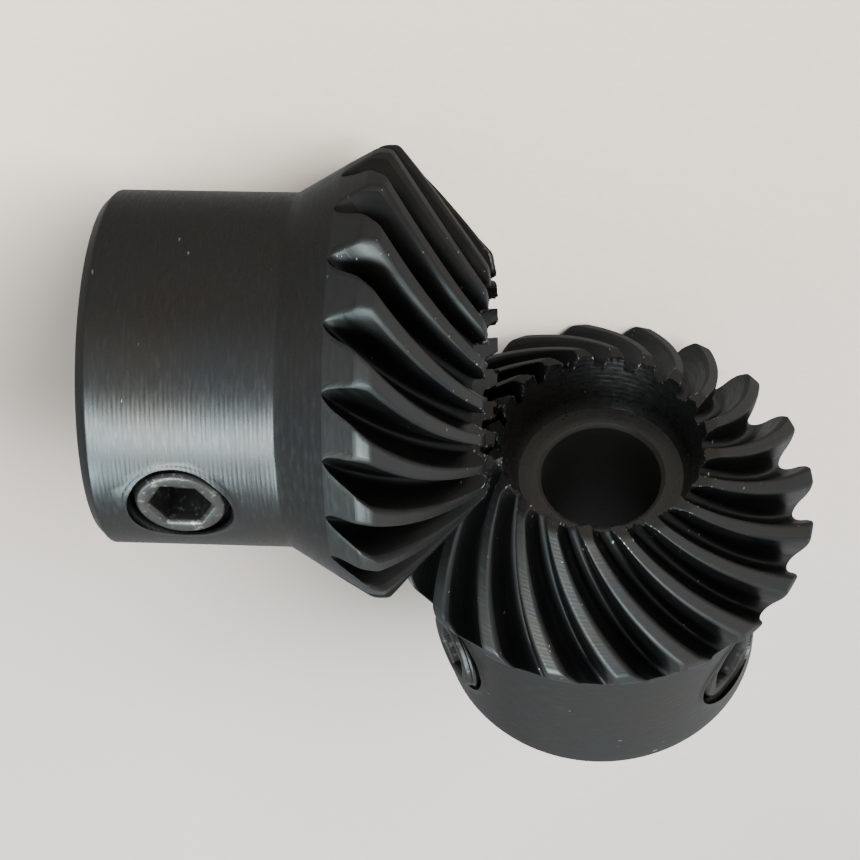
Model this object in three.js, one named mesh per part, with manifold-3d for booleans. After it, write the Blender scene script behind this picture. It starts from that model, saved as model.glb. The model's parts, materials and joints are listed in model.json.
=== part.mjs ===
// Spiral bevel gear pair: two equal 20-tooth gears in mesh on axes that cross at a right angle.
// One gear has a left-hand spiral and the other a right-hand spiral. Each has two hub set screws.
// Millimetres, +Z up. The right-hand gear's axis runs along +X and the left-hand gear's along +Y,
// both pointing from the hub towards the point where the axes cross. The origin is at the centre
// of the underside of the whole pair.

import * as THREE from 'three';
import { mergeVertices } from 'three/addons/utils/BufferGeometryUtils.js';
import Module from 'manifold-3d';

const wasm = await Module();
wasm.setup();

const radians = THREE.MathUtils.degToRad;

// Tooth system: a miter pair of module 1, so the pitch cone stands 45 degrees from the axis.
const TEETH = 20;
const PITCH_CONE = radians(45);
const PRESSURE_ANGLE = radians(20);
const SPIRAL_ANGLE = radians(31);
const MEAN_CONE_DISTANCE = 11;
const CUTTER_RADIUS = 16;
const FLANK_CLEARANCE = 0.055;

// Blank, measured along the axis from the hub's rear face towards the cone apex.
const MOUNTING_DISTANCE = 23.4;
const HUB_RADIUS = 8.4;
const HUB_LENGTH = 9;
const REAR_CHAMFER = 0.5;
const OUTER_RADIUS = 10.7;
const LAND_START = 12.9;
const LAND_END = 13.6;
const TOE_CORNER = 18.1;
const TOE_CORNER_RADIUS = 5.72;
const FACE_LENGTH = 18.2;
const TOE_RADIUS = 5.15;
const RECESS_FLOOR = 15.15;
const RECESS_RADIUS = 4.1;
const BORE_RADIUS = 3;
const BORE_CHAMFER = 0.2;

// Tooth spaces, as angles from the axis seen from the cone apex. The root line is tilted a little,
// so that the spaces are deepest at the heel.
const TOE_DISTANCE = 8;
const TOE_ROOT = radians(39.9);
const HEEL_DISTANCE = 15.4;
const HEEL_ROOT = radians(38.9);
const ROOT_ROUNDING = radians(0.7);
const ROOT_FLAT_SHARE = 0.55;
const FLANK_TOP = radians(49.5);
const CUTTER_TOP = radians(55);
const SPACE_START = 7.2;
const SPACE_END = 16.2;

// Set screws: M5 by 5 with a 2.5 mm hexagon socket, two in each hub, 120 degrees apart.
const SCREW_RADIUS = 2.5;
const SCREW_CLEARANCE = 0.2;
const SCREW_LENGTH = 5;
const SCREW_CHAMFER = 0.4;
const SCREW_AXIAL_PLACE = 4.4;
const SCREW_OUTER_END = 8.2;
const PROUD_SCREW_OUTER_END = 8.75;
const SOCKET_ACROSS_FLATS = 2.5;
const SOCKET_DEPTH = 2;
const CUP_RADIUS = 1.2;
const CUP_DEPTH = 0.6;

// Fixed thrust washer behind the left-hand gear's hub.
const WASHER_OUTER_RADIUS = 6.5;
const WASHER_INNER_RADIUS = 3.6;
const WASHER_THICKNESS = 1;
const WASHER_GAP = 0.3;

// Turned position of each gear at rest. A tooth of one stands in a space of the other.
const LEFT_HAND_PHASE = radians(10.8);

// Each gear's set screws: the angle round the hub, and how far out the socket end stands.
const LEFT_HAND_SCREWS = [
  [radians(28), PROUD_SCREW_OUTER_END],
  [radians(148), SCREW_OUTER_END],
];
const RIGHT_HAND_SCREWS = [
  [radians(-93.5), SCREW_OUTER_END],
  [radians(26.5), SCREW_OUTER_END],
];

// Fineness of the facets.
const BLANK_SEGMENTS = 60;
const BORE_OVERSHOOT = 1;
const SCREW_SEGMENTS = 20;
const FLANK_STEPS = 3;
const SPACE_SPANS = 5;
const SPIRAL_STEPS = 200;
const MERGE_DISTANCE = 1e-5;

const BLACK_OXIDE_STEEL = { color: 0x1b1c1e, metalness: 0.85, roughness: 0.42 };
const SCREW_STEEL = { color: 0x2a2b2d, metalness: 0.9, roughness: 0.38 };
const WASHER_STEEL = { color: 0x4a4b4d, metalness: 0.9, roughness: 0.45 };

// A closed geometry as a solid that can be joined and cut.
function solidOf(geometry) {
  geometry.deleteAttribute('normal');
  geometry.deleteAttribute('uv');
  const merged = mergeVertices(geometry, MERGE_DISTANCE);
  const vertProperties = merged.attributes.position.array;
  const triVerts = new Uint32Array(merged.index.array);
  return new wasm.Manifold(new wasm.Mesh({ numProp: 3, vertProperties, triVerts }));
}

// A solid as a geometry that a mesh can show.
function geometryOf(solid) {
  const mesh = solid.getMesh();
  const geometry = new THREE.BufferGeometry();
  geometry.setAttribute('position', new THREE.BufferAttribute(mesh.vertProperties, 3));
  geometry.setIndex(new THREE.BufferAttribute(mesh.triVerts, 1));
  geometry.computeVertexNormals();
  return geometry;
}

// A turned solid about Z from [radius, height] corners listed anticlockwise and closed on itself.
function turned(corners, segments) {
  const outline = [...corners, corners[0]].map(([radius, height]) => new THREE.Vector2(radius, height));
  return solidOf(new THREE.LatheGeometry(outline, segments).rotateX(Math.PI / 2));
}

// Turn of the tooth about the gear's axis at each cone distance, from the arc that a round
// face-mill cutter leaves on the developed pitch cone.
function spiralTurn(coneDistance) {
  const centreSquared = MEAN_CONE_DISTANCE ** 2 + CUTTER_RADIUS ** 2
    - 2 * MEAN_CONE_DISTANCE * CUTTER_RADIUS * Math.sin(SPIRAL_ANGLE);
  const step = (coneDistance - MEAN_CONE_DISTANCE) / SPIRAL_STEPS;
  let turn = 0;
  for (let i = 0; i < SPIRAL_STEPS; i += 1) {
    const distance = MEAN_CONE_DISTANCE + (i + 0.5) * step;
    const sine = (distance ** 2 + CUTTER_RADIUS ** 2 - centreSquared) / (2 * distance * CUTTER_RADIUS);
    turn += Math.tan(Math.asin(sine)) * step / (distance * Math.sin(PITCH_CONE));
  }
  return turn;
}

// Spherical involute: how far the flank has turned from its base cone at an angle from the axis.
function involuteTurn(angle) {
  const transversePressure = Math.atan(Math.tan(PRESSURE_ANGLE) / Math.cos(SPIRAL_ANGLE));
  const baseCone = Math.asin(Math.sin(PITCH_CONE) * Math.cos(transversePressure));
  if (angle <= baseCone) return 0;
  const unwound = Math.acos(Math.cos(angle) / Math.cos(baseCone)) / Math.sin(baseCone);
  return unwound - Math.acos(Math.tan(baseCone) / Math.tan(angle));
}

// Half the width of a tooth space, as an angle about the axis.
function halfSpace(coneDistance, angle) {
  const clearance = FLANK_CLEARANCE / (coneDistance * Math.sin(PITCH_CONE));
  return Math.PI / TEETH / 2 + clearance - involuteTurn(PITCH_CONE) + involuteTurn(angle);
}

// The floor of the tooth spaces at one cone distance, as an angle from the axis.
function rootAngle(coneDistance) {
  return THREE.MathUtils.mapLinear(coneDistance, TOE_DISTANCE, HEEL_DISTANCE, TOE_ROOT, HEEL_ROOT);
}

// One side of a tooth space on a sphere round the apex, from its root up: [angle, half width].
function spaceSide(coneDistance) {
  const root = rootAngle(coneDistance);
  const side = [[root, halfSpace(coneDistance, root) * ROOT_FLAT_SHARE]];
  const flankStart = root + ROOT_ROUNDING;
  for (let i = 0; i <= FLANK_STEPS; i += 1) {
    const angle = THREE.MathUtils.lerp(flankStart, FLANK_TOP, i / FLANK_STEPS);
    side.push([angle, halfSpace(coneDistance, angle)]);
  }
  side.push([CUTTER_TOP, halfSpace(coneDistance, FLANK_TOP)]);
  return side;
}

// The section of a tooth space at one cone distance, with its middle point last.
function spaceSection(coneDistance, hand) {
  const side = spaceSide(coneDistance);
  const outline = [...side, ...side.map(([angle, half]) => [angle, -half]).reverse()];
  outline.push([PITCH_CONE, 0]);
  return outline.map(([angle, turn]) => {
    const about = turn + hand * spiralTurn(coneDistance);
    const radius = coneDistance * Math.sin(angle);
    const height = MOUNTING_DISTANCE - coneDistance * Math.cos(angle);
    return new THREE.Vector3(radius * Math.cos(about), radius * Math.sin(about), height);
  });
}

// The solid that fills one tooth space, lofted from the toe end to the heel end.
function toothSpace(hand) {
  const sections = [];
  for (let i = 0; i <= SPACE_SPANS; i += 1) {
    sections.push(spaceSection(THREE.MathUtils.lerp(SPACE_START, SPACE_END, i / SPACE_SPANS), hand));
  }
  const ring = sections[0].length;
  const edge = ring - 1;
  const last = SPACE_SPANS * ring;
  const triangles = [];
  for (let j = 0; j < edge; j += 1) {
    const next = (j + 1) % edge;
    for (let i = 0; i < SPACE_SPANS; i += 1) {
      const near = i * ring;
      const far = near + ring;
      triangles.push(near + j, near + next, far + next, near + j, far + next, far + j);
    }
    triangles.push(edge, next, j, last + edge, last + j, last + next);
  }
  const geometry = new THREE.BufferGeometry().setFromPoints(sections.flat());
  geometry.setIndex(triangles);
  return solidOf(geometry);
}

// The turned blank: hub, back cone, outer land, face cone, blunt toe, toe recess and bore.
function gearBlank() {
  return turned([
    [BORE_RADIUS, BORE_CHAMFER],
    [BORE_RADIUS + BORE_CHAMFER, 0],
    [HUB_RADIUS - REAR_CHAMFER, 0],
    [HUB_RADIUS, REAR_CHAMFER],
    [HUB_RADIUS, HUB_LENGTH],
    [OUTER_RADIUS, LAND_START],
    [OUTER_RADIUS, LAND_END],
    [TOE_CORNER_RADIUS, TOE_CORNER],
    [TOE_RADIUS, FACE_LENGTH],
    [RECESS_RADIUS, RECESS_FLOOR],
    [BORE_RADIUS + BORE_CHAMFER, RECESS_FLOOR],
    [BORE_RADIUS, RECESS_FLOOR - BORE_CHAMFER],
  ], BLANK_SEGMENTS);
}

// A cylinder that lies along the hub's radius at one angle, between two radii.
function radialCylinder(radius, from, to, angle, segments = SCREW_SEGMENTS) {
  const cylinder = new THREE.CylinderGeometry(radius, radius, to - from, segments);
  cylinder.rotateZ(-Math.PI / 2).translate((from + to) / 2, 0, SCREW_AXIAL_PLACE);
  return solidOf(cylinder.rotateZ(angle));
}

// One gear about Z: its blank less the tooth spaces and the screw holes.
function gear(hand, phase, screws) {
  const space = toothSpace(hand);
  let body = gearBlank();
  for (let i = 0; i < TEETH; i += 1) {
    const turn = THREE.MathUtils.radToDeg(phase + (i + 0.5) * 2 * Math.PI / TEETH);
    body = body.subtract(space.rotate([0, 0, turn]));
  }
  for (const [angle] of screws) {
    body = body.subtract(radialCylinder(SCREW_RADIUS, 0, HUB_RADIUS + BORE_OVERSHOOT, angle));
  }
  return body;
}

// A set screw at its place in the hub: cup point inwards, hexagon socket outwards.
function setScrew(angle, outerEnd) {
  const radius = SCREW_RADIUS - SCREW_CLEARANCE;
  const outline = [
    [0, CUP_DEPTH],
    [CUP_RADIUS, 0],
    [radius - SCREW_CHAMFER, 0],
    [radius, SCREW_CHAMFER],
    [radius, SCREW_LENGTH - SCREW_CHAMFER],
    [radius - SCREW_CHAMFER, SCREW_LENGTH],
    [0, SCREW_LENGTH],
  ].map(([across, along]) => new THREE.Vector2(across, along));
  const body = new THREE.LatheGeometry(outline, SCREW_SEGMENTS).rotateZ(-Math.PI / 2);
  body.translate(outerEnd - SCREW_LENGTH, 0, SCREW_AXIAL_PLACE);
  const socketFloor = outerEnd - SOCKET_DEPTH;
  const socketRadius = SOCKET_ACROSS_FLATS / Math.sqrt(3);
  const socket = radialCylinder(socketRadius, socketFloor, outerEnd + BORE_OVERSHOOT, angle, 6);
  return solidOf(body.rotateZ(angle)).subtract(socket);
}

// The washer that takes the left-hand gear's thrust, a running gap behind its hub.
function thrustWasher() {
  const front = -WASHER_GAP;
  const back = front - WASHER_THICKNESS;
  return turned([
    [WASHER_INNER_RADIUS, back],
    [WASHER_OUTER_RADIUS, back],
    [WASHER_OUTER_RADIUS, front],
    [WASHER_INNER_RADIUS, front],
  ], BLANK_SEGMENTS);
}

function namedMesh(name, solid, finish) {
  const mesh = new THREE.Mesh(geometryOf(solid), new THREE.MeshStandardMaterial(finish));
  mesh.name = name;
  return mesh;
}

// A gear with its screws, in a group whose Z is the gear's axis and whose X points at the mesh.
function gearGroup(name, hand, phase, screws) {
  const group = new THREE.Group();
  group.add(namedMesh(name, gear(hand, phase, screws), BLACK_OXIDE_STEEL));
  screws.forEach(([angle, outerEnd], i) => {
    group.add(namedMesh(`${name}_set_screw_${i + 1}`, setScrew(angle, outerEnd), SCREW_STEEL));
  });
  return group;
}

// Turns and moves a gear's group so that its apex is at the origin and its axis is as given.
function placeAtApex(group, towardsMesh, axis) {
  const third = new THREE.Vector3().crossVectors(axis, towardsMesh);
  group.quaternion.setFromRotationMatrix(new THREE.Matrix4().makeBasis(towardsMesh, third, axis));
  group.position.copy(axis).multiplyScalar(-MOUNTING_DISTANCE);
  return group;
}

const alongX = new THREE.Vector3(1, 0, 0);
const alongY = new THREE.Vector3(0, 1, 0);

const leftHandGear = gearGroup('left_hand_gear', 1, LEFT_HAND_PHASE, LEFT_HAND_SCREWS);
leftHandGear.add(namedMesh('left_hand_gear_thrust_washer', thrustWasher(), WASHER_STEEL));

const rightHandPhase = Math.PI / TEETH - LEFT_HAND_PHASE;
const rightHandGear = gearGroup('right_hand_gear', -1, rightHandPhase, RIGHT_HAND_SCREWS);

const gearPair = new THREE.Group();
gearPair.add(placeAtApex(leftHandGear, alongX.clone().negate(), alongY));
gearPair.add(placeAtApex(rightHandGear, alongY.clone().negate(), alongX));

// The pair stands on its lowest teeth, centred over the origin.
const extent = new THREE.Box3().setFromObject(gearPair, true);
const middle = extent.getCenter(new THREE.Vector3());
gearPair.position.set(-middle.x, -middle.y, -extent.min.z);

export default gearPair;
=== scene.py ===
"""Looks of the spiral bevel gear pair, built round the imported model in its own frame.

Each gear is one dense surface made from the same tooth system as the CAD solid: rows follow the
turned outline of the blank and columns follow the tooth spaces. Metres in Blender; the shape
functions work in millimetres, measured from the hub's rear face along the gear's axis.
"""
import json
import math

import bmesh
import bpy
import numpy as np
from mathutils import Matrix, Vector, noise


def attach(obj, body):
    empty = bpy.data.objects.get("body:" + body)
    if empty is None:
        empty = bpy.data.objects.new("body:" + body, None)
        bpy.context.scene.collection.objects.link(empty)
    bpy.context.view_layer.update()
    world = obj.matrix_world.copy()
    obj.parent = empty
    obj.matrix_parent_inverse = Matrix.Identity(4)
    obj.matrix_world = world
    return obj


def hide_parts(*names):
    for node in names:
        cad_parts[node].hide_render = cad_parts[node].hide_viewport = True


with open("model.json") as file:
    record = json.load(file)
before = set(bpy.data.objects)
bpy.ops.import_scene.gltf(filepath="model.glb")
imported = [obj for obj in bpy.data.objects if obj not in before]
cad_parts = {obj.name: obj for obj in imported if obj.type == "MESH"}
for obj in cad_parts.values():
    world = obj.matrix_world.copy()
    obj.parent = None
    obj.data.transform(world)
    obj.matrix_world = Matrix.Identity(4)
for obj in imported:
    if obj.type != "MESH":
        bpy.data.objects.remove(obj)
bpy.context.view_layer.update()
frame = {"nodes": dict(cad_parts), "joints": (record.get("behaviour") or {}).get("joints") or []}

MM = 0.001
ALONG_X = (1, 0, 0)
ALONG_Y = (0, 1, 0)
AGAINST_X = (-1, 0, 0)
AGAINST_Y = (0, -1, 0)
LEFT_HAND = 1
RIGHT_HAND = -1

# Tooth system.
TEETH = 20
PITCH = 2 * math.pi / TEETH
PITCH_CONE = math.radians(45)
PRESSURE_ANGLE = math.radians(20)
SPIRAL_ANGLE = math.radians(31)
MEAN_CONE_DISTANCE = 11.0
CUTTER_RADIUS = 16.0
FLANK_CLEARANCE = 0.055
TOE_DISTANCE = 8.0
TOE_ROOT = math.radians(39.9)
HEEL_DISTANCE = 15.4
HEEL_ROOT = math.radians(38.9)
TOE_ROOT_ROUNDING = math.radians(0.9)
HEEL_ROOT_ROUNDING = math.radians(3.2)
ROOT_SQUARENESS = 1.7
TOE_EDGE_ROUNDING = 0.035
HEEL_EDGE_ROUNDING = 0.30

# Burr at the toe ends of the teeth: its height, and how it is broken up.
BURR_HEIGHT = 0.22
BURR_COARSE = 1.9
BURR_FINE = 6.3
BURR_FINE_SHARE = 0.9
BURR_LIFT = 0.4

# Blank.
MOUNTING_DISTANCE = 23.4
HUB_RADIUS = 8.4
HUB_LENGTH = 9.0
REAR_CHAMFER = 0.5
OUTER_RADIUS = 10.7
LAND_START = 12.9
LAND_END = 13.6
TOE_CORNER_PLACE = 18.1
TOE_CORNER_RADIUS = 5.72
FACE_LENGTH = 18.2
TOE_RADIUS = 5.15
RECESS_FLOOR = 15.15
RECESS_RADIUS = 4.1
BORE_RADIUS = 3.0
BORE_CHAMFER = 0.2

# Roundings of the blank's corners.
TOE_CORNER_ROUNDING = 0.18
FACE_EDGE_ROUNDING = 0.16
HEEL_CORNER_ROUNDING = 0.26
SHOULDER_ROUNDING = 0.12
HUB_REAR_ROUNDING = 0.1
REAR_EDGE_ROUNDING = 0.08
BORE_EDGE_ROUNDING = 0.06

# Set screws and their threaded holes.
THREAD_PITCH = 0.8
HOLE_MINOR_RADIUS = 2.37
HOLE_MAJOR_RADIUS = 2.52
HOLE_START = 2.0
HOLE_END = 9.4
SCREW_MAJOR_RADIUS = 2.29
SCREW_MINOR_RADIUS = 2.02
SCREW_LENGTH = 5.0
SCREW_OUTER_END = 8.2
PROUD_SCREW_OUTER_END = 8.75
SCREW_AXIAL_PLACE = 4.4
SOCKET_ACROSS_FLATS = 2.5
SOCKET_DEPTH = 2.0

# Where a screw's thread is cut, and how it fades out, measured from the screw's ends.
THREAD_FROM_POINT = 0.45
THREAD_FROM_SOCKET = 0.3
POINT_FADE_START = 0.3
POINT_FADE_LENGTH = 0.5
SOCKET_FADE_START = 0.22
SOCKET_FADE_LENGTH = 0.3

# Turned ends of a screw, as (radius, distance from the end).
CUP_POINT = ((0.15, 0.62), (0.6, 0.4), (1.15, 0.04), (1.25, 0.0), (1.4, 0.02), (1.9, 0.42))
SOCKET_FACE = ((2.12, 0.24), (2.06, 0.1), (1.98, 0.02), (1.9, 0.0), (1.66, 0.0))
DRILLED_FLOOR = ((1.0, SOCKET_DEPTH + 0.02), (0.2, SOCKET_DEPTH + 0.35))

# The socket's hexagon, as (how much wider than the key, distance from the end).
SOCKET_WALLS = ((0.2, 0.0), (0.14, 0.02), (0.03, 0.12), (0.0, 0.18), (0.0, SOCKET_DEPTH * 0.6),
                (0.0, SOCKET_DEPTH - 0.06), (-0.06, SOCKET_DEPTH))

# The burr round a screw hole, as (distance from the hole's axis, share of the burr's height, rise).
LIP_LOW = 0.03
LIP_SWELL = 0.06
LIP_OUTLINE = ((2.30, 0.0, -0.25), (2.30, 1.0, 0.0), (2.56, 0.9, 0.0), (2.66, 0.35, 0.0),
               (2.78, 0.0, -0.02), (2.78, 0.0, -0.25))

# Rest phases, and each screw's angle and outer end, in the gear's own frame.
LEFT_HAND_PHASE = math.radians(10.8)
LEFT_HAND_SCREWS = ((math.radians(28), PROUD_SCREW_OUTER_END), (math.radians(148), SCREW_OUTER_END))
RIGHT_HAND_SCREWS = ((math.radians(-93.5), SCREW_OUTER_END), (math.radians(26.5), SCREW_OUTER_END))


# ---------------------------------------------------------------- tooth system

def cumulative(values, step):
    """Running integral of evenly spaced values."""
    return np.concatenate([[0.0], np.cumsum((values[1:] + values[:-1]) / 2 * step)])


SPIRAL_DISTANCES = np.linspace(6.0, 17.0, 600)


def spiral_table():
    """Turn of the tooth trace at each cone distance, from the arc of a round face-mill cutter."""
    centre_squared = (MEAN_CONE_DISTANCE ** 2 + CUTTER_RADIUS ** 2
                      - 2 * MEAN_CONE_DISTANCE * CUTTER_RADIUS * math.sin(SPIRAL_ANGLE))
    sine = SPIRAL_DISTANCES ** 2 + CUTTER_RADIUS ** 2 - centre_squared
    sine /= 2 * SPIRAL_DISTANCES * CUTTER_RADIUS
    slope = np.tan(np.arcsin(sine)) / (SPIRAL_DISTANCES * math.sin(PITCH_CONE))
    turn = cumulative(slope, SPIRAL_DISTANCES[1] - SPIRAL_DISTANCES[0])
    return turn - np.interp(MEAN_CONE_DISTANCE, SPIRAL_DISTANCES, turn)


SPIRAL_TURNS = spiral_table()


def spiral_turn(distance):
    """How far the teeth have turned at a cone distance."""
    return np.interp(distance, SPIRAL_DISTANCES, SPIRAL_TURNS)


def involute_turn(angle):
    """Spherical involute: how far the flank has turned from its base cone at an angle from the axis."""
    transverse = math.atan(math.tan(PRESSURE_ANGLE) / math.cos(SPIRAL_ANGLE))
    base = math.asin(math.sin(PITCH_CONE) * math.cos(transverse))
    angle = np.maximum(angle, base + 1e-9)
    unwound = np.arccos(np.clip(np.cos(angle) / math.cos(base), -1, 1)) / math.sin(base)
    return unwound - np.arccos(np.clip(math.tan(base) / np.tan(angle), -1, 1))


def toe_to_heel(distance, toe, heel):
    """A measure that changes evenly along the teeth."""
    return toe + (heel - toe) * (distance - TOE_DISTANCE) / (HEEL_DISTANCE - TOE_DISTANCE)


def root_angle(distance):
    """The floor of the tooth spaces, deepest at the heel."""
    return toe_to_heel(distance, TOE_ROOT, HEEL_ROOT)


def root_rounding(distance):
    """How high the rounded floor of the tooth spaces reaches, as an angle."""
    return toe_to_heel(distance, TOE_ROOT_ROUNDING, HEEL_ROOT_ROUNDING)


def half_space(distance, angle):
    """Half the width of a tooth space, as a turn about the axis, with its rounded floor."""
    clearance = FLANK_CLEARANCE / (distance * math.sin(PITCH_CONE))
    flank = PITCH / 4 + clearance - involute_turn(PITCH_CONE) + involute_turn(angle)
    rise = np.clip((angle - root_angle(distance)) / root_rounding(distance), 0, 1)
    return flank * (1 - (1 - rise) ** ROOT_SQUARENESS) ** (1 / ROOT_SQUARENESS)


# ---------------------------------------------------------------- turned outline

def along_line(start, end, shares):
    """Points at the given shares of a straight line."""
    return np.array(start) + np.outer(shares, np.array(end) - np.array(start))


def outline_limits(outline):
    """Cone distance of each outline point, and its angle from the axis."""
    across = MOUNTING_DISTANCE - outline[:, 0]
    return np.hypot(across, outline[:, 1]), np.arctan2(outline[:, 1], across)


def run_out_share():
    """How far down the back cone the floor of the tooth spaces comes out."""
    shares = np.linspace(0, 1, 2000)
    distances, limits = outline_limits(along_line(HEEL_EDGE, HUB_SHOULDER, shares))
    return shares[np.argmax(limits <= root_angle(distances))]


def corner(before, point, after, radius, steps=3):
    """A rounded corner of an outline, as points on a short curve."""
    before, point, after = map(np.array, (before, point, after))
    start = point + (before - point) / np.linalg.norm(before - point) * radius
    end = point + (after - point) / np.linalg.norm(after - point) * radius
    places = np.linspace(0, 1, steps + 1)[:, None]
    return (1 - places) ** 2 * start + 2 * places * (1 - places) * point + places ** 2 * end


def spaced(start, end, count):
    """Points strictly between two ends of an outline."""
    places = np.linspace(0, 1, count + 2)[1:-1, None]
    return np.array(start) * (1 - places) + np.array(end) * places


TOE_TIP = (FACE_LENGTH, TOE_RADIUS)
TOE_CORNER = (TOE_CORNER_PLACE, TOE_CORNER_RADIUS)
FACE_EDGE = (LAND_END, OUTER_RADIUS)
HEEL_EDGE = (LAND_START, OUTER_RADIUS)
HUB_SHOULDER = (HUB_LENGTH, HUB_RADIUS)
HUB_REAR = (REAR_CHAMFER, HUB_RADIUS)
REAR_EDGE = (0.0, HUB_RADIUS - REAR_CHAMFER)
REAR_BORE_EDGE = (0.0, BORE_RADIUS + BORE_CHAMFER)
REAR_BORE = (BORE_CHAMFER, BORE_RADIUS)
FRONT_BORE = (RECESS_FLOOR - BORE_CHAMFER, BORE_RADIUS)
FRONT_BORE_EDGE = (RECESS_FLOOR, BORE_RADIUS + BORE_CHAMFER)
RECESS_EDGE = (RECESS_FLOOR, RECESS_RADIUS)


HEEL_ROWS = 18
HEEL_START = 0.94
HEEL_CROWDING = 1.6


def toothed_outline():
    """Outline from the toe tip over the face cone and the outer land to where the spaces run out."""
    shares = run_out_share() * (1 - np.linspace(HEEL_START, 0, HEEL_ROWS) ** HEEL_CROWDING)
    return np.concatenate([
        [TOE_TIP],
        spaced(TOE_TIP, TOE_CORNER, 3),
        corner(TOE_TIP, TOE_CORNER, FACE_EDGE, TOE_CORNER_ROUNDING),
        spaced(TOE_CORNER, FACE_EDGE, 22),
        corner(TOE_CORNER, FACE_EDGE, HEEL_EDGE, FACE_EDGE_ROUNDING, 4),
        corner(FACE_EDGE, HEEL_EDGE, HUB_SHOULDER, HEEL_CORNER_ROUNDING, 5),
        along_line(HEEL_EDGE, HUB_SHOULDER, shares),
    ])


def plain_outline():
    """Outline from the run-out over the hub, the rear face and the bore to the recess floor."""
    run_out = tuple(along_line(HEEL_EDGE, HUB_SHOULDER, [run_out_share()])[0])
    return np.concatenate([
        spaced(run_out, HUB_SHOULDER, 4),
        corner(run_out, HUB_SHOULDER, HUB_REAR, SHOULDER_ROUNDING),
        spaced(HUB_SHOULDER, HUB_REAR, 10),
        corner(HUB_SHOULDER, HUB_REAR, REAR_EDGE, HUB_REAR_ROUNDING),
        corner(HUB_REAR, REAR_EDGE, REAR_BORE_EDGE, REAR_EDGE_ROUNDING),
        spaced(REAR_EDGE, REAR_BORE_EDGE, 4),
        [REAR_BORE_EDGE, REAR_BORE],
        spaced(REAR_BORE, FRONT_BORE, 6),
        [FRONT_BORE],
        corner(FRONT_BORE, FRONT_BORE_EDGE, RECESS_EDGE, BORE_EDGE_ROUNDING, 2),
        spaced(FRONT_BORE_EDGE, RECESS_EDGE, 1),
        [RECESS_EDGE],
    ])


# ---------------------------------------------------------------- gear surface

FLOOR_STEPS = 6
FLANK_STEPS = 8
EDGE_STEPS = 3
LAND_STEPS = 3

# Limits of the rounded floors and edges, as shares of the depth or of the land, and where they fade.
LARGEST_FLOOR_SHARE = 0.6
LARGEST_EDGE_SHARE = 0.35
LARGEST_LAND_SHARE = 0.3
SHALLOW = math.radians(1)

# Finishes, in the order of a gear's materials.
FLOOR, FLANK, TOP, TURNED, EDGE = range(5)


def space_fractions(floor_share):
    """Shares of the tooth space's depth at each sample of its floor and flank, from the floor up."""
    turn = np.linspace(0, math.pi / 2, FLOOR_STEPS + 1)
    floor = (1 - np.cos(turn)) * floor_share
    flank = np.linspace(floor_share, 1, FLANK_STEPS + 1)[1:]
    return np.concatenate([floor, flank])


def half_profile(distance, limit):
    """Angles from the axis and turns about it, from the middle of a space to the middle of a tooth."""
    root = float(root_angle(distance))
    depth = max(limit - root, 0.0)
    floor_angle = min(root, limit)
    rounding = max(toe_to_heel(distance, TOE_EDGE_ROUNDING, HEEL_EDGE_ROUNDING), TOE_EDGE_ROUNDING)
    edge_angle = min(rounding / distance, LARGEST_EDGE_SHARE * depth)
    floor_share = min(root_rounding(distance) / max(depth, 0.01), LARGEST_FLOOR_SHARE)
    angles = floor_angle + (depth - edge_angle) * space_fractions(floor_share)
    turns = half_space(distance, angles)
    crest = float(half_space(distance, np.array([limit]))[0]) if depth else 0.0
    edge_turn = min(rounding / (distance * math.sin(limit)), LARGEST_LAND_SHARE * (PITCH / 2 - crest))
    edge_turn *= min(1.0, depth / SHALLOW)
    t = np.linspace(0, 1, EDGE_STEPS + 1)[1:]
    edge_angles = (1 - t) ** 2 * angles[-1] + (1 - (1 - t) ** 2) * limit
    edge_turns = (1 - t) ** 2 * turns[-1] + 2 * t * (1 - t) * crest + t ** 2 * (crest + edge_turn)
    land_turns = np.linspace(crest + edge_turn, PITCH / 2, LAND_STEPS + 1)[1:]
    return (np.concatenate([angles, edge_angles, np.full(LAND_STEPS, limit)]),
            np.concatenate([turns, edge_turns, land_turns]))


def column_kinds():
    """Finish of each column of faces across one pitch."""
    half = [FLOOR] * FLOOR_STEPS + [FLANK] * FLANK_STEPS + [EDGE] * EDGE_STEPS + [TOP] * LAND_STEPS
    return half + half[::-1]


def pitch_profile(distance, limit):
    """One whole pitch of the profile, from the middle of one space to just before the next."""
    angles, turns = half_profile(distance, limit)
    mirrored = PITCH - turns[::-1]
    return (np.concatenate([angles, angles[::-1][1:-1]]), np.concatenate([turns, mirrored[1:-1]]))


def toe_distance(angles):
    """Cone distance at which the toe recess cuts each angle from the axis."""
    slope = (TOE_RADIUS - RECESS_RADIUS) / (FACE_LENGTH - RECESS_FLOOR)
    reach = TOE_RADIUS + slope * (MOUNTING_DISTANCE - FACE_LENGTH)
    return reach / (np.sin(angles) + slope * np.cos(angles))


TOE_ROWS = 12
RECESS_SHARES = (0.3, 0.6, 0.85, 0.95)
WELD_DISTANCE = 0.0008


def toothed_rows(hand, phase):
    """Rows of points over the teeth, as (place, radius, turn), each with every column of the gear."""
    distances, limits = outline_limits(toothed_outline())
    rows = []
    toe_angles, _ = pitch_profile(distances[0], limits[0])
    toe = toe_distance(toe_angles)
    for i, (distance, limit) in enumerate(zip(distances, limits)):
        angles, turns = pitch_profile(distance, limit)
        along = np.full(len(angles), distance)
        if i < TOE_ROWS:
            share = i / TOE_ROWS
            along = toe * (1 - share) + distances[TOE_ROWS] * share
            along += (distance - (distances[0] * (1 - share) + distances[TOE_ROWS] * share))
        rows.append((MOUNTING_DISTANCE - along * np.cos(angles), along * np.sin(angles),
                     phase + turns + hand * spiral_turn(along)))
    return rows


def plain_rows(last_turns):
    """Rows of points round the hub, the rear face and the bore."""
    count = len(last_turns)
    return [(np.full(count, place), np.full(count, radius), last_turns) for place, radius in plain_outline()]


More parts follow.
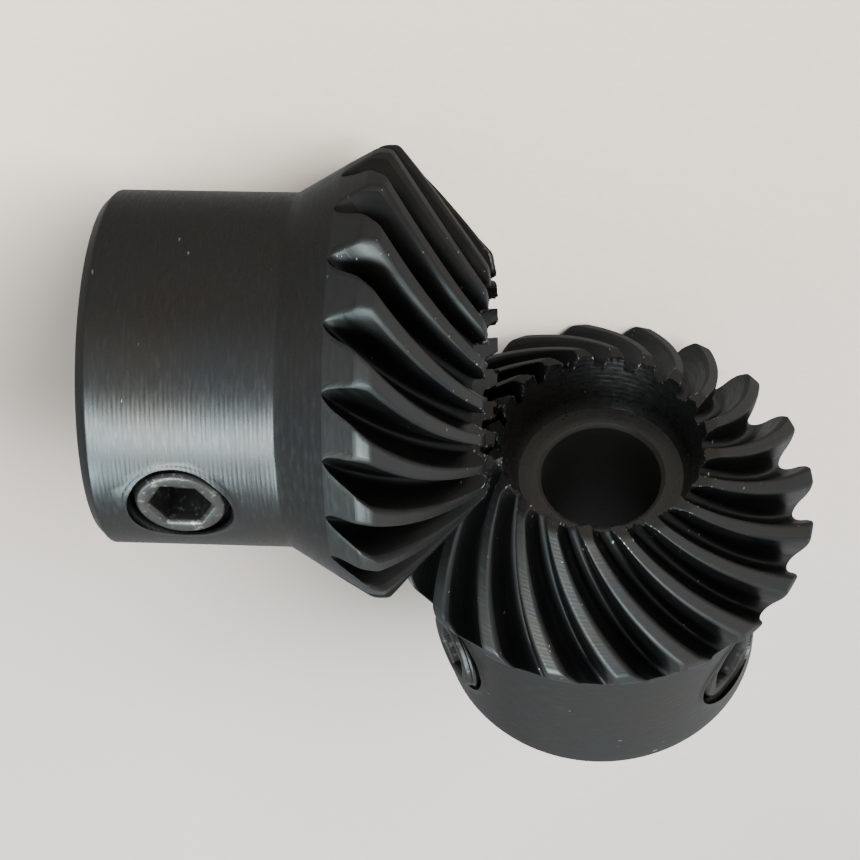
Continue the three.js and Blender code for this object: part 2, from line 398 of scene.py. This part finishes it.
def recess_rows(toe_row, floor_turns):
    """Rows up the toe recess, from its floor edge to just before the tooth ends."""
    places, radii, turns = toe_row
    rows = []
    for share in RECESS_SHARES:
        radius = RECESS_RADIUS * (1 - share) + radii * share
        place = RECESS_FLOOR * (1 - share) + places * share
        rows.append((place, radius, floor_turns * (1 - share) + turns * share))
    return rows


def whole_rows(hand, phase):
    """Every row of the gear's surface in order round its outline, and how many are on the teeth."""
    toothed = toothed_rows(hand, phase)
    plain = plain_rows(toothed[-1][2])
    per_pitch = len(toothed[0][2])
    floor_turns = toothed[0][2][0] + np.arange(per_pitch) * PITCH / per_pitch
    # The columns turn gradually inside the bore from the hub's places to the toe's.
    inner = [i for i, row in enumerate(plain) if row[1][0] < RECESS_RADIUS + 0.01]
    for step, i in enumerate(inner, 1):
        place, radius, turns = plain[i]
        share = step / len(inner)
        plain[i] = (place, radius, turns * (1 - share) + floor_turns * share)
    return toothed + plain + recess_rows(toothed[0], floor_turns), len(toothed)


def burr(points):
    """Ragged metal left at the toe ends of the teeth, pushed a little into the recess."""
    for point in points:
        place = Vector(point)
        swell = noise.noise(place * BURR_COARSE) + BURR_FINE_SHARE * noise.noise(place * BURR_FINE)
        push = BURR_HEIGHT * max(swell, 0.0)
        inwards = 1 - push / math.hypot(point[0], point[1])
        point *= (inwards, inwards, 1)
        point[2] += BURR_LIFT * push


def face_kind(row, column_kind, tooth_rows, row_count):
    """Finish of one face. The ragged flanks at the toe are bright like the edges."""
    if row in (0, row_count - 1) and column_kind in (FLANK, EDGE):
        return EDGE
    return column_kind if row < tooth_rows - 1 else TURNED


def gear_surface(name, hand, phase):
    """The whole gear as one closed mesh in its own frame, in millimetres."""
    rows, tooth_rows = whole_rows(hand, phase)
    vertices = []
    for place, radius, turns in rows:
        whole = (turns[None, :] + PITCH * np.arange(TEETH)[:, None]).ravel()
        radius = np.tile(radius, TEETH)
        vertices.append(np.stack([radius * np.cos(whole), radius * np.sin(whole), np.tile(place, TEETH)], 1))
    burr(vertices[0])
    kinds = column_kinds()
    columns = len(kinds) * TEETH
    faces = []
    face_kinds = []
    for i in range(len(rows)):
        below = i * columns
        above = (i + 1) % len(rows) * columns
        for j in range(columns):
            k = (j + 1) % columns
            faces.append((below + j, below + k, above + k, above + j))
            face_kinds.append(face_kind(i, kinds[j % len(kinds)], tooth_rows, len(rows)))
    mesh = bpy.data.meshes.new(name)
    mesh.from_pydata(np.concatenate(vertices).tolist(), [], faces)
    mesh.polygons.foreach_set("material_index", np.array(face_kinds, dtype=np.int32))
    clean(mesh)
    return mesh


def closed_mesh(name, vertices, faces):
    mesh = bpy.data.meshes.new(name)
    mesh.from_pydata(vertices.tolist(), [], faces)
    clean(mesh)
    return mesh


def clean(mesh):
    """Joins points that meet, drops faces with no area and turns every face outwards."""
    work = bmesh.new()
    work.from_mesh(mesh)
    bmesh.ops.remove_doubles(work, verts=work.verts, dist=WELD_DISTANCE)
    bmesh.ops.dissolve_degenerate(work, edges=work.edges, dist=WELD_DISTANCE)
    bmesh.ops.recalc_face_normals(work, faces=work.faces)
    work.to_mesh(mesh)
    work.free()


def apex():
    """Where the two axes cross."""
    spin = next(joint for joint in frame["joints"] if joint["name"] == "left_hand_gear_spin")
    return Vector(spin["pos_m"])


def gear_matrix(axis, towards_mesh):
    """From a gear's own frame in millimetres to the row's frame in metres."""
    axis, towards_mesh = Vector(axis), Vector(towards_mesh)
    third = axis.cross(towards_mesh)
    turn = Matrix((towards_mesh, third, axis)).transposed().to_4x4()
    return Matrix.Translation(apex() - axis * MOUNTING_DISTANCE * MM) @ turn @ Matrix.Scale(MM, 4)


def new_object(name, mesh):
    piece = bpy.data.objects.new(name, mesh)
    bpy.context.scene.collection.objects.link(piece)
    return piece


def smooth(mesh, degrees=32):
    """Smooth shading, with edges sharper than an angle kept crisp."""
    mesh.shade_smooth()
    mesh.set_sharp_from_angle(angle=math.radians(degrees))


# ---------------------------------------------------------------- threads, holes and screws

ROUND = np.linspace(0, 2 * math.pi, 72, endpoint=False)
LIP_TURNS = np.linspace(0, 2 * math.pi, 96, endpoint=False)
THREAD_CREST = 1.25
THREAD_SLOPE = 2.875


def revolved_grid(name, rows):
    """A closed mesh from rings of equal size, each an array of points, capped at both ends."""
    count = len(rows[0])
    vertices = np.concatenate(rows + [rows[0].mean(0)[None], rows[-1].mean(0)[None]])
    first_cap = len(rows) * count
    faces = []
    for i in range(len(rows) - 1):
        for j in range(count):
            k = (j + 1) % count
            faces.append((i * count + j, i * count + k, (i + 1) * count + k, (i + 1) * count + j))
    last = (len(rows) - 1) * count
    for j in range(count):
        k = (j + 1) % count
        faces.append((first_cap, k, j))
        faces.append((first_cap + 1, last + j, last + k))
    return closed_mesh(name, vertices, faces)


def ring(radii, places, angles):
    """Points round the X axis: the screw's own direction is outwards along X."""
    along = np.broadcast_to(places, angles.shape)
    return np.stack([along, radii * np.cos(angles), radii * np.sin(angles)], 1)


def round_rings(outline, end, outwards):
    """Plain round rings from an outline of (radius, distance from the end)."""
    return [ring(np.full_like(ROUND, radius), end - outwards * distance, ROUND)
            for radius, distance in outline]


def thread_wave(places, angles):
    """0 at the bottom of a 60 degree thread and 1 at its crest, with small flats."""
    share = (places / THREAD_PITCH - angles / (2 * math.pi)) % 1.0
    return np.clip(THREAD_CREST - THREAD_SLOPE * np.abs(share - 0.5), 0, 1)


def thread_fade(from_point, from_socket):
    """Share of the thread's depth that is cut near the two ends of a screw."""
    at_point = (from_point - POINT_FADE_START) / POINT_FADE_LENGTH
    at_socket = (from_socket - SOCKET_FADE_START) / SOCKET_FADE_LENGTH
    return max(min(1.0, at_point, at_socket), 0.0)


def hole_cutter():
    """The threaded hole as a solid along X, to be cut from the hub."""
    rows = []
    for place in np.arange(HOLE_START, HOLE_END, THREAD_PITCH / 8):
        wave = thread_wave(place, ROUND)
        rows.append(ring(HOLE_MINOR_RADIUS + (HOLE_MAJOR_RADIUS - HOLE_MINOR_RADIUS) * wave, place, ROUND))
    return revolved_grid("hole_cutter", rows)


def hole_lip():
    """The low raised burr that the tap left round the hole, following the hub's curve."""
    rows = []
    for turn in LIP_TURNS:
        swell = 0.5 + 0.5 * noise.noise(Vector((3 * math.cos(turn), 3 * math.sin(turn), 1.7)))
        height = LIP_LOW + LIP_SWELL * swell
        section = []
        for radius, height_share, rise in LIP_OUTLINE:
            sideways = radius * math.sin(turn)
            base = math.sqrt(HUB_RADIUS ** 2 - sideways ** 2)
            section.append((base + height * height_share + rise, sideways, radius * math.cos(turn)))
        rows.append(section)
    count = len(rows[0])
    vertices = np.array(rows).reshape(-1, 3)
    faces = []
    for i in range(len(rows)):
        for j in range(count):
            k = (j + 1) % count
            n = (i + 1) % len(rows)
            faces.append((i * count + j, n * count + j, n * count + k, i * count + k))
    return closed_mesh("hole_lip", vertices, faces)


def hexagon_radii(angles):
    """Radius of the socket's hexagon at each angle."""
    apothem = SOCKET_ACROSS_FLATS / 2
    return apothem / np.cos((angles + math.pi / 6) % (math.pi / 3) - math.pi / 6)


def screw_mesh(name, outer):
    """A set screw along X: cup point at the inner end, thread, chamfers and a hexagon socket."""
    inner = outer - SCREW_LENGTH
    rows = round_rings(CUP_POINT, inner, -1)
    for place in np.arange(inner + THREAD_FROM_POINT, outer - THREAD_FROM_SOCKET, THREAD_PITCH / 10):
        wave = thread_wave(place, ROUND) * thread_fade(place - inner, outer - place)
        rows.append(ring(SCREW_MINOR_RADIUS + (SCREW_MAJOR_RADIUS - SCREW_MINOR_RADIUS) * wave, place, ROUND))
    rows += round_rings(SOCKET_FACE, outer, 1)
    hexagon = hexagon_radii(ROUND)
    rows += [ring(hexagon + wider, outer - distance, ROUND) for wider, distance in SOCKET_WALLS]
    rows += round_rings(DRILLED_FLOOR, outer, 1)
    return revolved_grid(name, rows)


def on_hub(angle):
    """From the screw's own frame to the gear's, in millimetres."""
    return Matrix.Rotation(angle, 4, "Z") @ Matrix.Translation((0, 0, SCREW_AXIAL_PLACE))


def combined(piece, tool_mesh, operation):
    """Replaces a piece's mesh by its boolean with another mesh."""
    tool = new_object("tool", tool_mesh)
    modifier = piece.modifiers.new("combine", "BOOLEAN")
    modifier.operation = operation
    modifier.solver = "EXACT"
    modifier.object = tool
    bpy.context.view_layer.update()
    result = bpy.data.meshes.new_from_object(piece.evaluated_get(bpy.context.evaluated_depsgraph_get()))
    piece.modifiers.clear()
    old = piece.data
    piece.data = result
    bpy.data.meshes.remove(old)
    bpy.data.objects.remove(tool)
    bpy.data.meshes.remove(tool_mesh)


def make_gear(name, hand, phase, screws, matrix, materials):
    """A gear with its threaded holes, in place of its CAD node."""
    mesh = gear_surface(name + "_surface", hand, phase)
    for material in materials:
        mesh.materials.append(material)
    piece = new_object(name + "_surface", mesh)
    for angle, _ in screws:
        for tool_mesh, operation in ((hole_lip(), "UNION"), (hole_cutter(), "DIFFERENCE")):
            tool_mesh.materials.append(materials[TURNED])
            tool_mesh.transform(on_hub(angle))
            combined(piece, tool_mesh, operation)
    piece.data.transform(matrix)
    smooth(piece.data)
    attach(piece, name)
    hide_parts(name)
    return piece


def make_screw(name, angle, outer, matrix, material):
    """A set screw at its place in the hub, in place of its CAD node."""
    mesh = screw_mesh(name + "_thread", outer)
    mesh.transform(matrix @ on_hub(angle))
    mesh.materials.append(material)
    smooth(mesh)
    piece = new_object(name + "_thread", mesh)
    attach(piece, name)
    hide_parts(name)
    return piece


# ---------------------------------------------------------------- materials

def material_nodes(name):
    material = bpy.data.materials.new(name)
    material.use_nodes = True
    tree = material.node_tree
    return material, tree, tree.nodes["Principled BSDF"]


def fill_inputs(tree, node, values):
    """Links or sets a node's inputs in order: a value is another node's output or a constant."""
    for socket, value in zip(node.inputs, values):
        if hasattr(value, "is_output"):
            tree.links.new(value, socket)
        else:
            socket.default_value = value


def math_node(tree, operation, *values):
    node = tree.nodes.new("ShaderNodeMath")
    node.operation = operation
    fill_inputs(tree, node, values)
    return node.outputs[0]


def vector_node(tree, operation, *values):
    node = tree.nodes.new("ShaderNodeVectorMath")
    node.operation = operation
    fill_inputs(tree, node, values)
    return node.outputs["Value"] if operation == "DOT_PRODUCT" else node.outputs[0]


def added(tree, first, second):
    """The sum of two values."""
    return math_node(tree, "ADD", first, second)


def scaled(tree, value, factor):
    """The product of a value and a constant or another value."""
    return math_node(tree, "MULTIPLY", value, factor)


def stretched(tree, first, first_scale, second, second_scale):
    """A flat texture position that is finer one way than the other."""
    node = tree.nodes.new("ShaderNodeCombineXYZ")
    fill_inputs(tree, node, (scaled(tree, first, first_scale), scaled(tree, second, second_scale), 0.0))
    return node.outputs[0]


def noise_node(tree, vector, scale, detail=2.0, roughness=0.5):
    node = tree.nodes.new("ShaderNodeTexNoise")
    node.inputs["Scale"].default_value = scale
    node.inputs["Detail"].default_value = detail
    node.inputs["Roughness"].default_value = roughness
    tree.links.new(vector, node.inputs["Vector"])
    return node.outputs["Fac"]


def ramp_node(tree, value, low, high, to_low=0.0, to_high=1.0):
    """Maps a value's range to another one, level beyond its ends."""
    node = tree.nodes.new("ShaderNodeMapRange")
    node.inputs["From Min"].default_value = low
    node.inputs["From Max"].default_value = high
    node.inputs["To Min"].default_value = to_low
    node.inputs["To Max"].default_value = to_high
    tree.links.new(value, node.inputs["Value"])
    return node.outputs["Result"]


def mix_color(tree, factor, first, second):
    """From the first colour at 0 to the second at 1."""
    node = tree.nodes.new("ShaderNodeMix")
    node.data_type = "RGBA"
    tree.links.new(factor, node.inputs["Factor"])
    for socket, value in ((node.inputs[6], first), (node.inputs[7], second)):
        if hasattr(value, "is_output"):
            tree.links.new(value, socket)
        else:
            socket.default_value = (*value, 1.0)
    return node.outputs[2]


def bump_node(tree, height, distance, strength=1.0, normal=None):
    node = tree.nodes.new("ShaderNodeBump")
    node.inputs["Strength"].default_value = strength
    node.inputs["Distance"].default_value = distance
    tree.links.new(height, node.inputs["Height"])
    if normal is not None:
        tree.links.new(normal, node.inputs["Normal"])
    return node.outputs["Normal"]


def object_position(tree):
    return tree.nodes.new("ShaderNodeTexCoord").outputs["Object"]


def in_millimetres(tree, vector):
    """A position in metres, as millimetres."""
    return vector_node(tree, "MULTIPLY", vector, (1 / MM, 1 / MM, 1 / MM))


def gear_coordinates(tree, axis, towards_mesh):
    """Millimetres along and across the gear's axis, and the turn about it, at the shaded point."""
    axis = Vector(axis)
    third = axis.cross(Vector(towards_mesh))
    rear = apex() - axis * MOUNTING_DISTANCE * MM
    offset = in_millimetres(tree, vector_node(tree, "SUBTRACT", object_position(tree), tuple(rear)))
    along = vector_node(tree, "DOT_PRODUCT", offset, tuple(axis))
    first = vector_node(tree, "DOT_PRODUCT", offset, tuple(towards_mesh))
    second = vector_node(tree, "DOT_PRODUCT", offset, tuple(third))
    squares = added(tree, scaled(tree, first, first), scaled(tree, second, second))
    across = math_node(tree, "SQRT", squares)
    turn = math_node(tree, "ARCTAN2", second, first)
    return offset, along, across, turn


# Colours of the black oxide, and of the steel where it is worn through. The recess and bore colours are
# painted shade; the brown-black is random staining that is partly a painted warm reflection.
BLUE_BLACK = (0.062, 0.066, 0.070)
BROWN_STAIN_AND_PAINTED_REFLECTION = (0.070, 0.065, 0.058)
WORN_OXIDE = (0.12, 0.125, 0.125)
# The next two colours are painted shade for the toe recess and the bore.
RECESS_PAINTED_SHADE = (0.058, 0.060, 0.058)
BORE_PAINTED_SHADE = (0.034, 0.034, 0.033)
BARE_DING = (0.42, 0.44, 0.43)
BARE_NICK = (0.46, 0.48, 0.46)
METALLIC = 0.9

# Stains on the milled teeth, as levels of the finish's tone.
COOL_TINT = (0.92, 0.99, 1.05)
WARM_TINT = (1.30, 1.27, 1.18)

# Lathe feed marks, in millimetres, and how much a cone's face adds to the feed.
FEED_PITCH = 0.21
CONE_FEED = 0.6

# Turn of the cutter marks for each millimetre away from the axis, and how finely they lie.
MARK_LEAN = 0.08 * math.sqrt(2)
MARK_FINENESS = 8.0
NICK_SHAPE = (1.5, 1.2, 0.45)

# Depths of the relief, in metres.
TURNED_RELIEF = 0.000008
TURNED_GRAIN = 0.000002
CUT_RELIEF = 0.000007
CUT_GRAIN = 0.000003
STEEL_GRAIN = 0.000005
PAPER_FIBRE = 0.00004


def toned(tone, color):
    """A colour at a given level."""
    return tuple(tone * level for level in color)


def turned_finish(name, axis, towards_mesh, roughness=0.22, groove=0.16, tone=1.0):
    """Black oxide over lathe-turned steel: fine broken rings round the axis, stains that are partly a painted
    warm reflection, small dings, and painted shade in the toe recess and bore.
    """
    material, tree, shader = material_nodes(name)
    offset, along, across, turn = gear_coordinates(tree, axis, towards_mesh)
    feed = math_node(tree, "SUBTRACT", along, scaled(tree, across, CONE_FEED))
    arc = scaled(tree, turn, HUB_RADIUS)
    grooves = noise_node(tree, stretched(tree, feed, 4.8, arc, 0.10), 1.0, 2.0, 0.6)
    streaks = noise_node(tree, stretched(tree, feed, 7.0, arc, 1.1), 1.0, 2.0, 0.6)
    tool_marks = math_node(tree, "SINE", scaled(tree, feed, 2 * math.pi / FEED_PITCH))
    stain = noise_node(tree, offset, 0.22, 4.0, 0.6)
    grain = noise_node(tree, offset, 11.0, 3.0, 0.65)
    dents = noise_node(tree, stretched(tree, feed, 3.0, arc, 1.2), 1.0, 1.0, 0.5)
    dings = ramp_node(tree, dents, 0.765, 0.80)
    in_recess = ramp_node(tree, across, RECESS_RADIUS + 0.25, RECESS_RADIUS - 0.05)
    inside = scaled(tree, in_recess, ramp_node(tree, along, 0.05, 0.8))
    in_bore = ramp_node(tree, across, BORE_RADIUS + 0.2, BORE_RADIUS + 0.05)

    # Random brown-black stains, which also stand in for a painted warm reflection on the turned steel.
    stained = ramp_node(tree, stain, 0.35, 0.7)
    base = mix_color(tree, stained, toned(tone, BLUE_BLACK), toned(tone, BROWN_STAIN_AND_PAINTED_REFLECTION))
    base = mix_color(tree, ramp_node(tree, streaks, 0.55, 0.75, 0.0, 0.22), base, WORN_OXIDE)
    base = mix_color(tree, dings, base, BARE_DING)
    # Painted shade: the toe recess is darkened a little in place of its dark reflection, and the bore much
    # more.
    base = mix_color(tree, scaled(tree, inside, 0.6), base, RECESS_PAINTED_SHADE)
    base = mix_color(tree, scaled(tree, in_bore, 0.85), base, BORE_PAINTED_SHADE)
    tree.links.new(base, shader.inputs["Base Color"])

    rough = ramp_node(tree, streaks, 0.3, 0.7, roughness, roughness + 0.12)
    rough = added(tree, rough, scaled(tree, grain, 0.06))
    rough = added(tree, rough, scaled(tree, in_bore, 0.3))
    tree.links.new(rough, shader.inputs["Roughness"])
    dulled = added(tree, scaled(tree, inside, 0.35), scaled(tree, in_bore, 0.45))
    tree.links.new(math_node(tree, "SUBTRACT", METALLIC, dulled), shader.inputs["Metallic"])

    height = added(tree, scaled(tree, grooves, 0.8), scaled(tree, tool_marks, groove))
    height = added(tree, height, scaled(tree, streaks, 0.5))
    height = math_node(tree, "SUBTRACT", height, scaled(tree, dings, 2.0))
    normal = bump_node(tree, height, TURNED_RELIEF, 1.0)
    normal = bump_node(tree, grain, TURNED_GRAIN, 0.5, normal)
    tree.links.new(normal, shader.inputs["Normal"])
    return material


def cut_finish(name, axis, towards_mesh, hand, tone, roughness, specks=0.0, toe_specks=0.05,
               nick_scale=3.2, relief=1.0):
    """Black oxide over milled tooth surfaces: cutter marks along the curved teeth, and bright nicks."""
    material, tree, shader = material_nodes(name)
    offset, along, across, turn = gear_coordinates(tree, axis, towards_mesh)
    follow = math_node(tree, "SUBTRACT", turn, scaled(tree, across, hand * MARK_LEAN))
    follow = scaled(tree, follow, MARK_FINENESS)
    marks = noise_node(tree, stretched(tree, follow, 6.0, across, 0.7), 1.0, 3.0, 0.6)
    grain = noise_node(tree, offset, 8.0, 4.0, 0.7)
    stain = noise_node(tree, offset, 0.45, 3.0, 0.6)
    nicks = noise_node(tree, vector_node(tree, "MULTIPLY", offset, NICK_SHAPE), nick_scale, 1.0, 0.5)
    nicks = added(tree, nicks, ramp_node(tree, across, 6.6, 5.7, 0.0, toe_specks))

    stained = ramp_node(tree, stain, 0.35, 0.7)
    base = mix_color(tree, stained, toned(tone, COOL_TINT), toned(tone, WARM_TINT))
    base = mix_color(tree, ramp_node(tree, nicks, 0.78 - specks, 0.82 - specks), base, BARE_NICK)
    tree.links.new(base, shader.inputs["Base Color"])

    rough = ramp_node(tree, marks, 0.3, 0.7, roughness - 0.05, roughness + 0.07)
    tree.links.new(added(tree, rough, scaled(tree, grain, 0.08)), shader.inputs["Roughness"])
    shader.inputs["Metallic"].default_value = METALLIC

    normal = bump_node(tree, marks, CUT_RELIEF * relief, 1.0)
    normal = bump_node(tree, grain, CUT_GRAIN * relief, 0.7, normal)
    tree.links.new(normal, shader.inputs["Normal"])
    return material


def steel_finish(name, dark, light, scuff, roughness):
    """Plain worn steel of a small part: fine grain, stains and scuffs."""
    material, tree, shader = material_nodes(name)
    position = in_millimetres(tree, object_position(tree))
    grain = noise_node(tree, position, 9.0, 4.0, 0.7)
    stain = noise_node(tree, position, 0.9, 3.0, 0.6)
    scuffs = noise_node(tree, position, 2.6, 3.0, 0.7)
    base = mix_color(tree, ramp_node(tree, stain, 0.35, 0.7), dark, light)
    base = mix_color(tree, ramp_node(tree, scuffs, 0.56, 0.68), base, scuff)
    tree.links.new(base, shader.inputs["Base Color"])
    rough = ramp_node(tree, grain, 0.3, 0.7, roughness - 0.06, roughness + 0.1)
    tree.links.new(rough, shader.inputs["Roughness"])
    shader.inputs["Metallic"].default_value = METALLIC
    tree.links.new(bump_node(tree, grain, STEEL_GRAIN, 0.8), shader.inputs["Normal"])
    return material


# Colours of the paper: each pair is a darker and a lighter patch. The cool pair is painted bluish shade, the
# warm pair is painted warm light, and the shade colour is a painted shadow.
PAPER_IN_PAINTED_COOL_SHADE = ((0.715, 0.693, 0.672), (0.745, 0.723, 0.703))
PAPER_IN_PAINTED_WARM_LIGHT = ((0.785, 0.722, 0.612), (0.815, 0.752, 0.642))
PAINTED_PAPER_SHADE = (0.05, 0.05, 0.05)


def paper_finish():
    """Pale paper: faint fibres and patches, with painted warm light in front, painted cool shade behind, and
    painted shade a little darker on one side.
    """
    material, tree, shader = material_nodes("paper")
    position = in_millimetres(tree, object_position(tree))
    fibre = noise_node(tree, position, 0.9, 5.0, 0.65)
    cloud = noise_node(tree, position, 0.012, 2.0, 0.5)
    patches = ramp_node(tree, cloud, 0.35, 0.65)
    forwards = vector_node(tree, "DOT_PRODUCT", position, ALONG_Y)
    sideways = vector_node(tree, "DOT_PRODUCT", position, ALONG_X)
    painted_cool_shade = mix_color(tree, patches, *PAPER_IN_PAINTED_COOL_SHADE)
    painted_warm_light = mix_color(tree, patches, *PAPER_IN_PAINTED_WARM_LIGHT)
    # Painted light and shade: the paper turns from painted cool shade behind to painted warm light in front.
    base = mix_color(tree, ramp_node(tree, forwards, -50, 24), painted_cool_shade, painted_warm_light)
    # Painted shade: the paper is a little darker towards +X.
    base = mix_color(tree, ramp_node(tree, sideways, -24, 20, 0.0, 0.2), base, PAINTED_PAPER_SHADE)
    tree.links.new(base, shader.inputs["Base Color"])
    shader.inputs["Roughness"].default_value = 0.85
    shader.inputs["Specular IOR Level"].default_value = 0.2
    tree.links.new(bump_node(tree, fibre, PAPER_FIBRE, 0.5), shader.inputs["Normal"])
    return material


# ---------------------------------------------------------------- pieces

def gear_finishes(name, axis, towards_mesh, hand):
    """A gear's materials, in the order of FLOOR, FLANK, TOP, TURNED and EDGE."""
    place = (axis, towards_mesh)
    return [
        # The tooth-space floors take a darker tone than the flanks of the same cut: painted shade between the
        # teeth.
        cut_finish(name + "_tooth_space", *place, hand, tone=0.026, roughness=0.38),
        cut_finish(name + "_tooth_flank", *place, hand, tone=0.037, roughness=0.31),
        turned_finish(name + "_tooth_top", *place, roughness=0.32, groove=0.1, tone=1.2),
        turned_finish(name + "_turned", *place),
        cut_finish(name + "_tooth_edge", *place, hand, tone=0.060, roughness=0.46,
                   specks=0.03, toe_specks=0.16, nick_scale=5.0, relief=3.0),
    ]


SPACE_OFFSET = PITCH / 2
RIGHT_HAND_PHASE = math.pi / TEETH - LEFT_HAND_PHASE

left_matrix = gear_matrix(ALONG_Y, AGAINST_X)
left_finishes = gear_finishes("left_hand", ALONG_Y, AGAINST_X, LEFT_HAND)
left_gear = make_gear("left_hand_gear", LEFT_HAND, LEFT_HAND_PHASE + SPACE_OFFSET, LEFT_HAND_SCREWS,
                      left_matrix, left_finishes)

right_matrix = gear_matrix(ALONG_X, AGAINST_Y)
right_finishes = gear_finishes("right_hand", ALONG_X, AGAINST_Y, RIGHT_HAND)
right_gear = make_gear("right_hand_gear", RIGHT_HAND, RIGHT_HAND_PHASE + SPACE_OFFSET, RIGHT_HAND_SCREWS,
                       right_matrix, right_finishes)

gear_pieces = [left_gear, right_gear]

# The left-hand gear's screws are blacker than the other's.
oiled_steel = steel_finish("dark_screw_steel", dark=(0.055, 0.056, 0.055), light=(0.08, 0.079, 0.075),
                           scuff=(0.17, 0.168, 0.16), roughness=0.40)
dry_steel = steel_finish("screw_steel", dark=(0.09, 0.09, 0.09), light=(0.14, 0.135, 0.125),
                         scuff=(0.40, 0.39, 0.36), roughness=0.34)
for gear_name, screws, matrix, steel in (
    ("left_hand_gear", LEFT_HAND_SCREWS, left_matrix, oiled_steel),
    ("right_hand_gear", RIGHT_HAND_SCREWS, right_matrix, dry_steel),
):
    for number, (angle, outer) in enumerate(screws, 1):
        gear_pieces.append(make_screw(f"{gear_name}_set_screw_{number}", angle, outer, matrix, steel))

washer = frame["nodes"]["left_hand_gear_thrust_washer"]
washer_steel = steel_finish("washer_ground_steel", dark=(0.13, 0.13, 0.135), light=(0.19, 0.185, 0.175),
                            scuff=(0.24, 0.235, 0.22), roughness=0.36)
washer.data.materials.clear()
washer.data.materials.append(washer_steel)
gear_pieces.append(washer)


# ---------------------------------------------------------------- stage, lights and camera

FLOOR_REACH = 1.2
FLOOR_DROP = 0.00002


def make_floor():
    """Plain paper, just under the lowest teeth so that no two faces coincide."""
    mesh = bpy.data.meshes.new("paper_floor")
    corners = [(x * FLOOR_REACH, y * FLOOR_REACH, 0) for x, y in ((-1, -1), (1, -1), (1, 1), (-1, 1))]
    mesh.from_pydata(corners, [], [(0, 1, 2, 3)])
    mesh.materials.append(paper_finish())
    floor = new_object("paper_floor", mesh)
    floor.location.z = -FLOOR_DROP
    floor.visible_glossy = False
    return floor


def area_light(name, direction, distance, size, power, color):
    """A rectangular light that looks at the gears from a direction, a distance away in metres."""
    data = bpy.data.lights.new(name, "AREA")
    data.shape = "RECTANGLE"
    data.size, data.size_y = size
    data.energy = power
    data.color = color
    light = bpy.data.objects.new(name, data)
    bpy.context.scene.collection.objects.link(light)
    direction = Vector(direction).normalized()
    light.location = apex() + direction * distance
    light.rotation_euler = direction.to_track_quat("Z", "Y").to_euler()
    return light


def light_only(light, pieces):
    """Limits a light to some pieces, so that the floor has one soft shadow and the steel clean gloss."""
    group = bpy.data.collections.new(light.name + "_receivers")
    for piece in pieces:
        group.objects.link(piece)
    light.light_linking.receiver_collection = group


ROOM_HIGH = (0.74, 0.75, 0.74)
ROOM_LOW = (0.40, 0.375, 0.33)
ROOM_CORNER = (0.22, 0.22, 0.22)


def make_world():
    """A soft room: darker and warmer low down on the viewer's side, and a dark corner on the far left."""
    world = bpy.data.worlds.new("soft_room")
    world.use_nodes = True
    tree = world.node_tree
    direction = tree.nodes.new("ShaderNodeTexCoord").outputs["Generated"]
    height = vector_node(tree, "DOT_PRODUCT", direction, (0.0, -1.0, 1.2))
    colour = mix_color(tree, ramp_node(tree, height, -0.9, -0.1), ROOM_LOW, ROOM_HIGH)
    corner = vector_node(tree, "DOT_PRODUCT", direction, (-0.8, -0.5, -0.6))
    colour = mix_color(tree, ramp_node(tree, corner, -0.05, 0.7, 0.0, 0.75), colour, ROOM_CORNER)
    tree.links.new(colour, tree.nodes["Background"].inputs["Color"])
    bpy.context.scene.world = world


CAMERA_AZIMUTH = math.radians(5.39)
CAMERA_ELEVATION = math.radians(34.90)
CAMERA_ROLL = math.radians(-175.55)
CAMERA_DISTANCE = 118 * MM
CAMERA_TARGET = Vector((-8.38, -4.84, -0.09)) * MM
CAMERA_LENS = 100.9


def make_camera():
    """The camera looks down from in front, turned nearly upside down."""
    data = bpy.data.cameras.new("camera")
    data.lens = CAMERA_LENS
    data.sensor_width = 36
    data.clip_start = 0.01
    camera = bpy.data.objects.new("camera", data)
    bpy.context.scene.collection.objects.link(camera)
    back = Vector((math.sin(CAMERA_AZIMUTH) * math.cos(CAMERA_ELEVATION),
                   math.cos(CAMERA_AZIMUTH) * math.cos(CAMERA_ELEVATION), math.sin(CAMERA_ELEVATION)))
    level = (-back).cross(Vector((0, 0, 1))).normalized()
    upright = level.cross(-back)
    right = level * math.cos(CAMERA_ROLL) + upright * math.sin(CAMERA_ROLL)
    up = upright * math.cos(CAMERA_ROLL) - level * math.sin(CAMERA_ROLL)
    turn = Matrix((right, up, back)).transposed().to_4x4()
    place = apex() + CAMERA_TARGET + back * CAMERA_DISTANCE
    camera.matrix_world = Matrix.Translation(place) @ turn
    bpy.context.scene.camera = camera


floor = make_floor()
make_world()

room = area_light("room", direction=(0.55, 0.72, 0.46), distance=0.9, size=(0.6, 0.6),
                  power=46, color=(1.0, 0.965, 0.92))
window = area_light("window", direction=(-0.28, 0.165, 0.92), distance=0.5, size=(0.17, 0.30),
                    power=2.5, color=(0.84, 0.97, 1.0))
side_window = area_light("side_window", direction=(-0.41, -0.31, 0.86), distance=0.5, size=(0.17, 0.22),
                         power=1.3, color=(0.74, 0.96, 1.0))
light_only(room, [floor])
light_only(window, gear_pieces)
light_only(side_window, gear_pieces)

make_camera()
